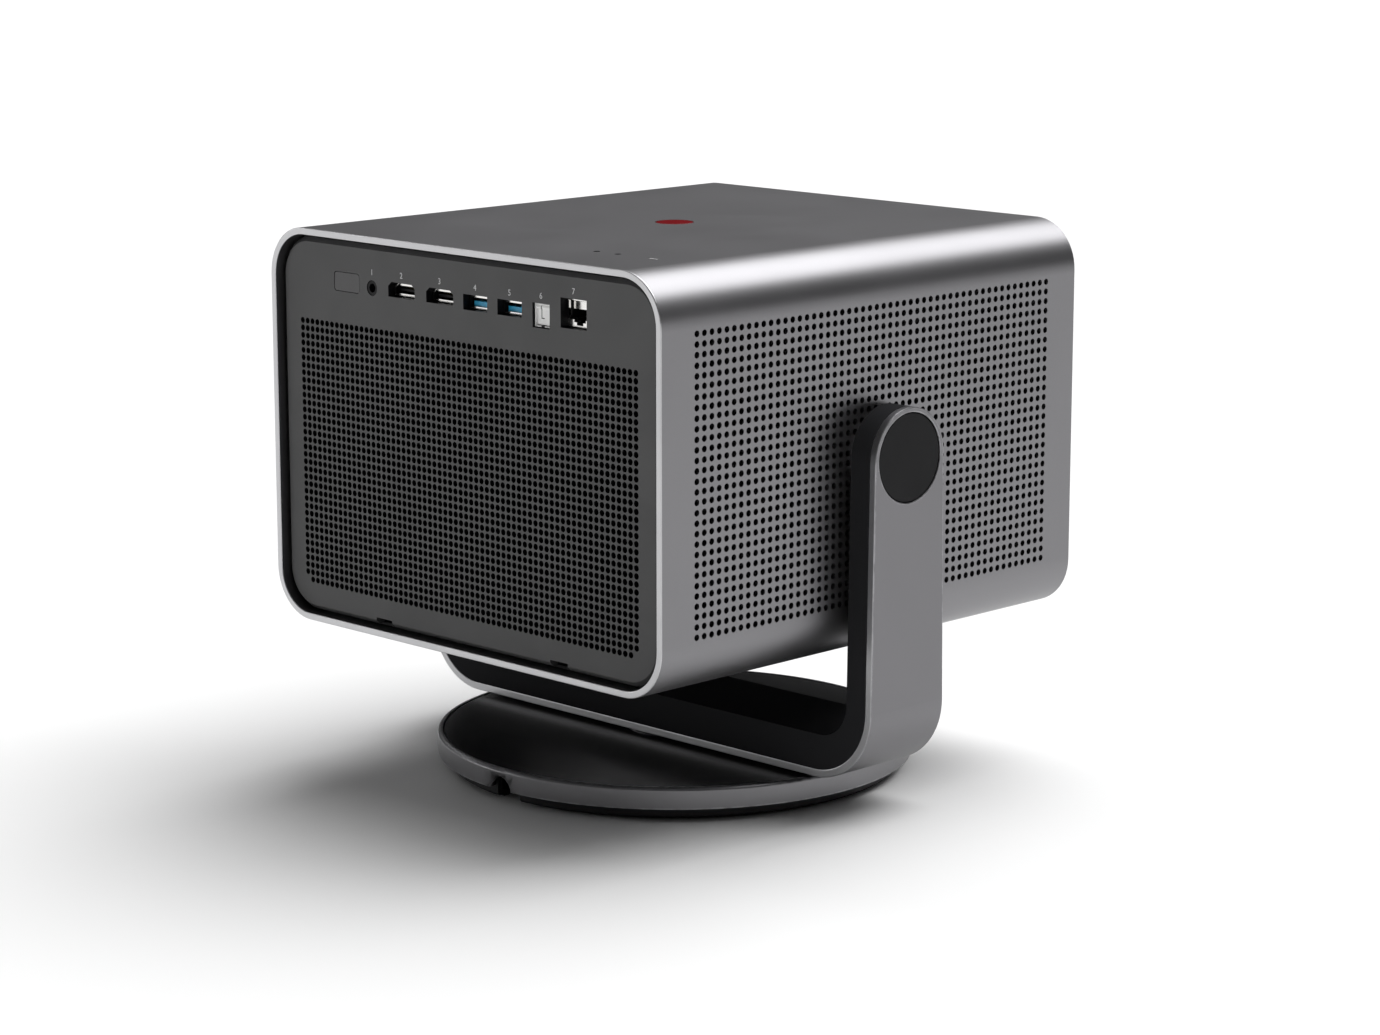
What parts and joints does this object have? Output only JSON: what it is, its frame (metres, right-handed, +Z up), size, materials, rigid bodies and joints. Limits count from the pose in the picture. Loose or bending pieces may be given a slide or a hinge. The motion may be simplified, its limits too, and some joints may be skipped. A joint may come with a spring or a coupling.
{
  "type": "video projector",
  "caption": "Box-shaped home projector with perforated sides, hung in a tapered U-shaped yoke that tilts it and turns on a round weighted base.",
  "frame": {"origin": "middle of the base, on the table", "axes": "+Z up; the lens looks towards -Y and the sockets face +Y; the tilt axis runs along X"},
  "size_m": [0.2524, 0.2338, 0.2206],
  "materials": {
    "grey_aluminium": "bead-blasted, anodised grey",
    "bright_aluminium": "turned, satin",
    "black_gloss": "polished",
    "black_plastic": "fine texture",
    "panel_grey": "fine texture",
    "dark_glass": "polished, smoked",
    "lens_glass": "coated",
    "black_rubber": "matte",
    "steel": "zinc plated",
    "socket_metal": "nickel plated",
    "brass": "turned",
    "copper": "drawn copper",
    "blue_plastic": "moulded",
    "white_plastic": "moulded",
    "red_plastic": "moulded",
    "board_green": "coated circuit board"
  },
  "bodies": {
    "base": {"base_rim": "grey_aluminium", "base_top_plate": "black_gloss", "base_lower_pan": "black_plastic", "foot_ring": "black_rubber", "base_weight": "steel", "power_socket": "black_plastic", "tripod_insert": "brass", "base_screws": "steel", "pan_bush": "white_plastic", "slip_washer": "black_plastic"},
    "yoke": {"yoke_band": "grey_aluminium", "yoke_liner": "black_plastic", "pivot_cap_left": "black_plastic", "pivot_cap_right": "black_plastic", "tilt_bushes": "white_plastic", "pan_spindle": "steel", "spindle_nut": "steel"},
    "head": {"sleeve_housing": "grey_aluminium", "rear_panel": "panel_grey", "rear_frame": "black_plastic", "dust_screens": "black_plastic", "front_bezel": "black_plastic", "front_glass": "dark_glass", "sensor_window": "dark_glass", "sensor_module": "board_green", "lens_ring": "bright_aluminium", "front_lens": "lens_glass", "lens_barrel": "black_plastic", "rear_lens": "lens_glass", "optical_engine": "black_plastic", "laser_module": "bright_aluminium", "heat_sink": "bright_aluminium", "heat_pipes": "copper", "fan_frames": "black_plastic", "speaker_boxes": "black_plastic", "speaker_drivers": "black_plastic", "chassis_tray": "steel", "pivot_brackets": "steel", "tilt_axles": "steel", "friction_washers": "white_plastic", "axle_nuts": "steel", "main_board": "board_green", "power_board": "board_green", "top_board": "board_green", "button_switch": "black_plastic", "status_light": "white_plastic", "hdmi_sockets": "socket_metal", "usb_sockets": "socket_metal", "usb_tongues": "blue_plastic", "lan_socket": "socket_metal", "audio_socket": "black_plastic", "optical_socket": "white_plastic", "infrared_window": "dark_glass"},
    "power_button": {"power_button": "red_plastic"},
    "optical_shutter": {"optical_shutter": "white_plastic"},
    "fan_rotor_left": {"fan_rotor_left": "black_plastic"},
    "fan_rotor_right": {"fan_rotor_right": "black_plastic"},
    "focus_carriage": {"focus_carriage": "bright_aluminium", "focus_lens": "lens_glass"}
  },
  "joints": [
    {"name": "yoke_pan", "type": "hinge", "parent": "base", "child": "yoke", "pos_m": [0, 0, 0.0145], "axis": [0, 0, 1], "range_deg": [-180, 180]},
    {"name": "head_tilt", "type": "hinge", "parent": "yoke", "child": "head", "pos_m": [0, 0, 0.1415], "axis": [1, 0, 0], "range_deg": [-27, 27]},
    {"name": "power_button_press", "type": "slide", "parent": "head", "child": "power_button", "axis": [0, 0, -1], "range_m": [0, 0.0008], "stiffness_N_per_m": 1200, "springref_m": -0.0005},
    {"name": "optical_shutter_flap", "type": "hinge", "parent": "head", "child": "optical_shutter", "pos_m": [-0.0445, 0.1121, 0.202], "axis": [-1, 0, 0], "range_deg": [0, 80], "stiffness_Nm_per_rad": 0.00005, "springref_deg": -22.92},
    {"name": "fan_left_spin", "type": "hinge", "parent": "head", "child": "fan_rotor_left", "pos_m": [0.033, 0.0835, 0.1315], "axis": [0, 1, 0], "continuous": true},
    {"name": "fan_right_spin", "type": "hinge", "parent": "head", "child": "fan_rotor_right", "pos_m": [-0.033, 0.0835, 0.1315], "axis": [0, 1, 0], "continuous": true},
    {"name": "focus_travel", "type": "slide", "parent": "head", "child": "focus_carriage", "axis": [0, 1, 0], "range_m": [-0.0015, 0.0015]}
  ]
}
